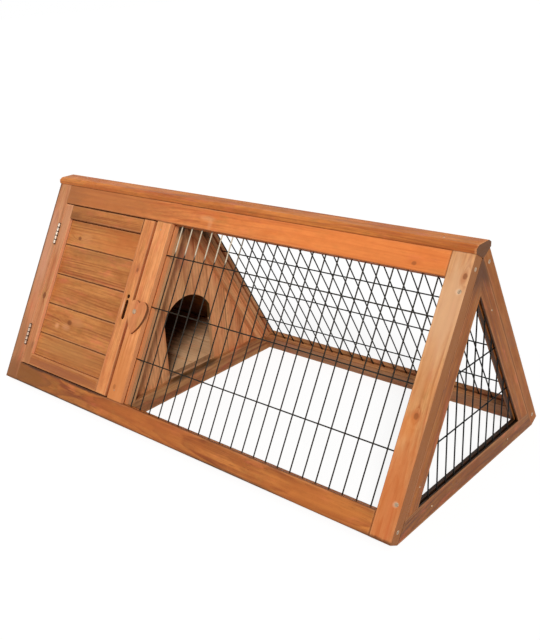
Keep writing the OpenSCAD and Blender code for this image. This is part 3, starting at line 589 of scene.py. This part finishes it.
# painted light on its pale side faces, and painted shade along its left edge and at the ground
upright("front_left_post", "post_left", pith=(0, -0.02, -0.05), contrast=0.8, wear=0.1,
        joint=0.15, sawn=0.9, side=(226, 152, 108),
        stains=((0.37, -0.016, 0.11, 0.03, ASH, 0.6), (0.27, -0.026, 0.07, 0.02, ASH, 0.4),
                (0.27, 0.0, ALL_ALONG, 0.007, EDGE_SHADE, 0.75),
                (0.0, -0.02, 0.0065, ALL_ALONG, EDGE_SHADE, 0.85),
                (0.01, -0.02, 0.07, 0.05, (126, 78, 42), 0.8),
                (0.11, -0.012, 0.07, 0.03, (150, 104, 70), 0.6),
                (0.20, -0.03, 0.08, 0.02, (212, 134, 92), 0.4)))
# painted shade on its dark side faces and at the ground
upright("front_right_post", "post_right", rings=240, contrast=0.85,
        pith=(0, -1.158, -0.035),
        knots=((0.481, -1.172, 0.0036, 0.9), (0.226, -1.158, 0.0040, 0.75)),
        sawn=0.9, side=(152, 92, 46), joint=0.3,
        stains=((0.42, -1.158, 0.13, 0.04, (224, 176, 134), 0.75),
                (0.30, -1.15, 0.08, 0.014, (206, 142, 92), 0.5),
                (0.478, -1.170, 0.016, 0.007, (186, 116, 72), 0.7),
                (0.225, -1.157, 0.016, 0.013, (184, 102, 54), 0.85),
                (0.205, -1.152, 0.03, 0.018, (218, 134, 70), 0.6),
                (0.07, -1.155, 0.16, 0.04, (196, 104, 48), 0.75),
                (0.452, -1.1675, 0.0065, 0.0065, BARE, 0.6),
                (0.0695, -1.1675, 0.0065, 0.0065, BARE, 0.4),
                (0.0, -1.15, 0.0065, ALL_ALONG, EDGE_SHADE, 0.8)))
# painted light on its side face, which is pale
upright("front_jamb", "jamb", pith=(0, -0.43, -0.04), contrast=0.65, sawn=0.95,
        side=(224, 144, 92), knots=((0.078, -0.408, 0.004, 0.5),),
        stains=((0.07, -0.415, 0.13, 0.05, (204, 124, 66), 0.75),
                (0.47, -0.405, 0.02, 0.010, (196, 130, 74), 0.5)))
level("rear_top_rail", "rear", rear=True)
level("rear_bottom_rail", "rear", rear=True)
upright("rear_left_post", "rail", rear=True)
upright("rear_right_post", "rear_post", rear=True)
# its upper end is painted dark, as the shade under the top rail
upright("rear_middle_post", "wall", rear=True, contrast=0.9, fleck=0.5,
        stains=((0.445, 0.432, 0.05, 0.06, SHADE, 0.9, -0.027),))
timber("ridge_cap", "cap", X, Z, Vector((-END_X, 0, 0.45)), pith=(0, 0.01, -0.07),
       contrast=0.6, wear=0.5, sawn=0.0, joint=0.0, ends=0.95, end_grain=(98, 60, 28),
       knots=((0.31, -0.012, 0.004, 0.6), (0.86, 0.008, 0.005, 0.5)))
for i in range(1, 6):
    level("rear_wall_board_%d" % i, "back", rear=True, contrast=0.6)

# the end legs' side faces are painted dark as shade, and the upper ends of all legs are
# painted dark as the shade under the cap and the top rails
for side, sign in (("front", 1), ("rear", -1)):
    up = UP_FRONT if sign > 0 else UP_REAR
    for end, x in (("right", END_X), ("left", -END_X)):
        timber("%s_%s_leg" % (end, side), "leg", up, X, Vector((x, -LEG_Y * sign, 0.0)),
               contrast=0.7, sawn=0.9, side=(52, 30, 13),
               stains=((0.50, 0.0, 0.05, 0.05, (84, 48, 24), 0.8),),
               knots=((0.30, 0.004, 0.0045, 0.6),) if side == "front" else ())
    timber("partition_%s_leg" % side, "wall_leg" if sign > 0 else "wall", up,
           X, Vector((PARTITION_X, -LEG_Y * sign, 0.0)), contrast=0.6, joint=0.25, fleck=0.5,
           sawn=0.1, wear=0.5, stains=((0.475, 0.0, 0.03, 0.05, SHADE, 0.9),))
# the end frames' bottom rails: painted shade where the mesh's groove is, and on their side
# faces
for node, x in (("right_bottom_rail", END_X), ("left_bottom_rail", -END_X)):
    timber(node, "cross", Y, X, Vector((x, 0, 0)), contrast=0.8, sawn=0.97, side=(34, 20, 9),
           joint=0.25, fleck=0.4, knots=((-0.06, 0.026, 0.003, 0.6),),
           hollow=((-0.3, 0.3), (0.028, 0.0407), (-0.0166, -0.0004)),
           hollow_shade=(34, 20, 9))
# the sill under the doorway is painted dark, as shade
timber("partition_bottom_rail", "wall_rail", Y, X, Vector((PARTITION_X, 0, 0)), contrast=0.8,
       sawn=0.0, joint=0.15, fleck=0.4,
       stains=((-0.065, 0.042, 0.055, 0.011, SILL_SHADE, 0.9),
               (-0.01, 0.042, 0.055, 0.011, SILL_SHADE, 0.8),
               (0.035, 0.042, 0.035, 0.010, SILL_SHADE, 0.8)))

# the middle board: painted shade at its upper end under the top rail, and painted light at its
# foot in the doorway
WALL_STAINS = {"front": ((0.12, 0.0, 0.06, 0.02, (196, 112, 92), 0.4),),
               "middle": ((0.408, -0.045, 0.018, 0.075, SHADE, 0.95),
                          (0.047, 0.060, 0.011, 0.055, DOORWAY_FOOT_LIGHT, 0.9),
                          (0.047, -0.005, 0.011, 0.055, DOORWAY_FOOT_LIGHT, 0.9),
                          (0.33, 0.02, 0.03, 0.05, (190, 110, 84), 0.4)),
               "rear": ((0.16, 0.03, 0.08, 0.01, (150, 92, 54), 0.5),
                        (0.12, -0.02, 0.09, 0.02, (198, 122, 92), 0.4))}
# the doorway's cut edge is painted light below, and painted dark under the arch as its shade
DOORWAY = {"sawn": 0.9, "side": (188, 142, 100), "hollow_shade": (80, 54, 24),
           "hollow": ((0.150, 0.300), (-0.070, 0.120), (-0.012, -0.0006))}
for part, y in (("front", -0.2), ("middle", 0.0), ("rear", 0.2)):
    timber("partition_%s_board" % part, "wall", Z, X, Vector((BOARD_X, y, 0)),
           rings=210, contrast=0.7, fleck=0.4, stains=WALL_STAINS[part],
           **(DOORWAY if part == "middle" else {}))

# The floor carries a painted shadow away from the doorway, and a painted pool of light inside
# it. These places are the scene's own x and y.
FLOOR_STAINS = ((-0.43, -0.13, 0.30, 0.20, SHADE, 0.85),
                (-0.45, 0.10, 0.17, 0.17, SHADE, 0.85),
                (-0.190, -0.02, 0.045, 0.08, FLOOR_LIGHT_POOL, 0.5),
                (-0.210, 0.09, 0.070, 0.10, FLOOR_LIGHT_POOL, 0.5))
FLOOR_X, FLOOR_Z = -0.5, 0.05
for i in range(1, 5):
    timber("left_wall_board_%d" % i, "board", Z, X * -1,
           Vector((-0.573, -0.197 + 0.131 * (i - 1), 0)), contrast=0.7)
    board_y = -0.2 + 0.1 * i
    timber("floor_board_%d" % i, "floor", X, Z, Vector((FLOOR_X, board_y, FLOOR_Z)),
           contrast=0.7, joint=0.2,
           stains=tuple((x - FLOOR_X, y - board_y, *more) for x, y, *more in FLOOR_STAINS))
for side in ("left", "right"):
    timber("floor_%s_bearer" % side, "floor", Y, Z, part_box("floor_%s_bearer" % side)[0],
           sawn=0.0)

# painted light on its inner side face
upright("door_left_stile", "stile_left", knots=((0.230, -0.063, 0.0052, 0.9),), contrast=0.65,
        joint=0.1, sawn=0.9, side=(230, 160, 118),
        stains=((0.42, -0.063, 0.08, 0.02, (214, 158, 120), 0.5),
                (0.075, -0.063, 0.04, 0.03, (166, 106, 64), 0.8),
                (0.100, -0.072, 0.012, 0.006, (136, 82, 56), 0.5)))
# the finger groove's inside is painted dark as its shade, and the pale strip beside it is a
# painted highlight on its edge
upright("door_right_stile", "stile_right", contrast=0.65, joint=0.35, sawn=0.1,
        knots=((0.352, -0.3735, 0.0030, 0.6),),
        stains=((0.357, -0.3745, 0.016, 0.006, (168, 98, 62), 0.7),
                (0.356, -0.362, 0.012, 0.004, (178, 106, 68), 0.5),
                (0.260, -0.360, 0.024, 0.0035, (226, 172, 132), 0.85)),
        hollow=((0.225, 0.300), (-0.376, -0.363), (-0.011, -0.0005)))
level("door_top_rail", "door_rail", contrast=0.7, joint=0.8,
      stains=((0.12, 0.45, 0.07, 0.03, (146, 88, 42), 0.5),
              (0.095, 0.447, 0.03, 0.012, (124, 72, 34), 0.6)))
# painted light on its top face
level("door_bottom_rail", "door_rail", contrast=0.7, joint=0.12, sawn=0.9, side=(224, 150, 98),
      stains=((0.2, 0.062, 0.2, 0.014, (154, 90, 54), 0.8),))

# the door's boards, from the lowest to the highest
DOOR_KNOTS = {2: ((0.179, 0.184, 0.0058, 0.95),), 5: ((0.127, 0.394, 0.0044, 0.85),)}
DOOR_STAINS = {1: ((0.2, 0.11, 0.2, 0.04, (178, 120, 66), 0.6),),
               2: ((0.205, 0.190, 0.030, 0.014, (208, 142, 90), 0.5),
                   (0.135, 0.167, 0.012, 0.009, (226, 156, 108), 0.7),
                   (0.170, 0.169, 0.020, 0.010, (206, 142, 102), 0.5),
                   (0.103, 0.162, 0.016, 0.007, (184, 98, 52), 0.5)),
               3: ((0.10, 0.25, 0.03, 0.03, (190, 108, 54), 0.4),),
               4: ((0.22, 0.36, 0.16, 0.014, (150, 96, 50), 0.5),),
               5: ((0.3, 0.40, 0.15, 0.05, (202, 114, 56), 0.5),
                   (0.15, 0.398, 0.03, 0.02, (206, 140, 88), 0.4))}
for i in range(1, 6):
    level("door_board_%d" % i, "board", contrast=0.75, rings=150, joint=0.8,
          knots=DOOR_KNOTS.get(i, ()), stains=DOOR_STAINS.get(i, ()))
timber("door_stop", "leg", UP_FRONT, OUT_FRONT, on_panel(0.39, 0.1, -0.04))
upright("turn_button", "heart", pith=(0, -0.42, -0.03), contrast=0.45, rings=260, joint=0.0,
        wear=0.0, sawn=0.85)

# ------------------------------------------------------------------ dress the metal
COAT = {"rough": 0.50, "metallic": 0.0, "bump_size": 0.00015, "specular": 0.15}
wire = metal("coated_wire", (14, 13, 10), **COAT)
zinc = metal("zinc_hinge", (212, 196, 178), 0.40, 0.6, spots=(120, 88, 60), knuckles=True)
fixing = metal("zinc_fixing", (204, 176, 146), 0.42, 0.6, spots=(120, 84, 56))
# the front wires: a lighter copy of the same coat, as painted light, with a painted glint at
# their upper ends over the partition
glinting_wire = metal("glinting_wire", (40, 34, 25), glint=True, **COAT)
for material, dressed in (
        (wire, ("rear_mesh", "end_mesh")),
        (glinting_wire, ("front_mesh",)),
        (zinc, ("hinge_post_leaves", "hinge_door_leaves", "hinge_pins")),
        (fixing, ("hinge_post_screws", "hinge_door_screws", "turn_button_screw",
                  "frame_screws", "frame_nails"))):
    for node in dressed:
        dress(node, material)


# ------------------------------------------------------------------ floor, light, camera
GROUND_Z = -0.0005  # just under the feet, so that no face lies in another
GROUND_SIZE = 60.0
GROUND_GREY = 0.62  # what the light from the ground is made of
GROUND_THIN = 0.20  # what the camera sees of the grey: enough for the shadow
GROUND_GLOW = 0.86  # and of its own light
# the shelter's outline on the ground, where the glow goes down by that much: a painted shadow
SHELTER_SHADOW = 0.82
SHELTER_LEFT, SHELTER_RIGHT = (-0.57, -0.55), (-0.17, -0.19)
SHELTER_DEEP = (0.262, 0.242)


def seen_directly(g):
    """One for what the camera sees, also in a mirror or through glass."""
    path = g.node("ShaderNodeLightPath").outputs
    seen = g.math("ADD", path["Is Camera Ray"], path["Is Glossy Ray"], clamp=True)
    return g.math("ADD", seen, path["Is Transmission Ray"], clamp=True)


def pale_ground():
    """Matt pale floor. What the camera sees of it is lifted to white outside the shadow, less
    so under the shelter, as a painted shadow.
    """
    material = bpy.data.materials.new("pale_ground")
    material.use_nodes = True
    material.node_tree.nodes.clear()
    g = Graph(material.node_tree)
    matt = g.node("ShaderNodeBsdfDiffuse")
    matt.inputs["Color"].default_value = (GROUND_GREY, GROUND_GREY, GROUND_GREY, 1)
    thin = g.node("ShaderNodeBsdfDiffuse")
    thin.inputs["Color"].default_value = (GROUND_THIN, GROUND_THIN, GROUND_THIN, 1)
    # a painted shadow on the ground under the shelter's boards: the white lift is taken away
    # there
    across, deep = g.split(g.node("ShaderNodeTexCoord").outputs["Object"])[:2]
    under = g.math("MULTIPLY", g.span(across, *SHELTER_LEFT), g.span(across, *SHELTER_RIGHT))
    under = g.math("MULTIPLY", under, g.span(g.math("ABSOLUTE", deep), *SHELTER_DEEP))
    glow = g.node("ShaderNodeEmission")
    g.put(glow.inputs["Strength"],
          g.math("SUBTRACT", GROUND_GLOW, g.math("MULTIPLY", under, SHELTER_SHADOW)))
    lifted = g.node("ShaderNodeAddShader")
    g.put(lifted.inputs[0], thin.outputs[0])
    g.put(lifted.inputs[1], glow.outputs[0])
    both = g.node("ShaderNodeMixShader")
    g.put(both.inputs[0], seen_directly(g))
    g.put(both.inputs[1], matt.outputs[0])
    g.put(both.inputs[2], lifted.outputs[0])
    g.put(g.node("ShaderNodeOutputMaterial").inputs[0], both.outputs[0])
    return material


bpy.ops.mesh.primitive_plane_add(size=GROUND_SIZE, location=(0, 0, GROUND_Z))
floor = bpy.context.object
floor.name = "floor"
floor.data.materials.append(pale_ground())

# the world lights softly, and is white where it is seen
SKY_STRENGTH = 0.34
world = bpy.data.worlds.new("studio") if scene.world is None else scene.world
scene.world = world
world.use_nodes = True
world.node_tree.nodes.clear()
w = Graph(world.node_tree)
sky = w.node("ShaderNodeBackground")
sky.inputs["Color"].default_value = (1.0, 0.985, 0.965, 1.0)
sky.inputs["Strength"].default_value = SKY_STRENGTH
bright = w.node("ShaderNodeBackground")
bright.inputs["Color"].default_value = (1, 1, 1, 1)
bright.inputs["Strength"].default_value = 1.0
both = w.node("ShaderNodeMixShader")
w.put(both.inputs[0], seen_directly(w))
w.put(both.inputs[1], sky.outputs[0])
w.put(both.inputs[2], bright.outputs[0])
w.put(w.node("ShaderNodeOutputWorld").inputs[0], both.outputs[0])

# one broad lamp from the front right, above
KEY_FROM = Vector((0.504, -0.619, 0.602))
sun = bpy.data.lights.new("key", "SUN")
sun.energy = 2.4
sun.angle = math.radians(14)
sun.color = (1.0, 0.985, 0.96)
key = bpy.data.objects.new("key", sun)
key.rotation_euler = KEY_FROM.to_track_quat("Z", "Y").to_euler()
scene.collection.objects.link(key)

# the photograph's camera, as solved from the corners and rails of the run
EYE_AT = (1.24284, -1.30209, 0.92745)
EYE_RIGHT = Vector((0.733502, 0.676321, -0.067560))
EYE_UP = Vector((-0.223487, 0.333859, 0.915747))
EYE_BACK = Vector((0.641894, -0.656603, 0.396035))
cam = bpy.data.cameras.new("camera")
eye = bpy.data.objects.new("camera", cam)
scene.collection.objects.link(eye)
eye.matrix_world = Matrix.Translation(EYE_AT) @ Matrix(
    (EYE_RIGHT, EYE_UP, EYE_BACK)).transposed().to_4x4()
cam.sensor_fit = "AUTO"
cam.sensor_width = 36.0
cam.lens = 47.35  # for a frame of 540 by 640
cam.shift_x = 0.0575
cam.shift_y = 0.0335
cam.clip_start, cam.clip_end = 0.05, 60.0
scene.camera = eye

scene.view_settings.view_transform = "Standard"
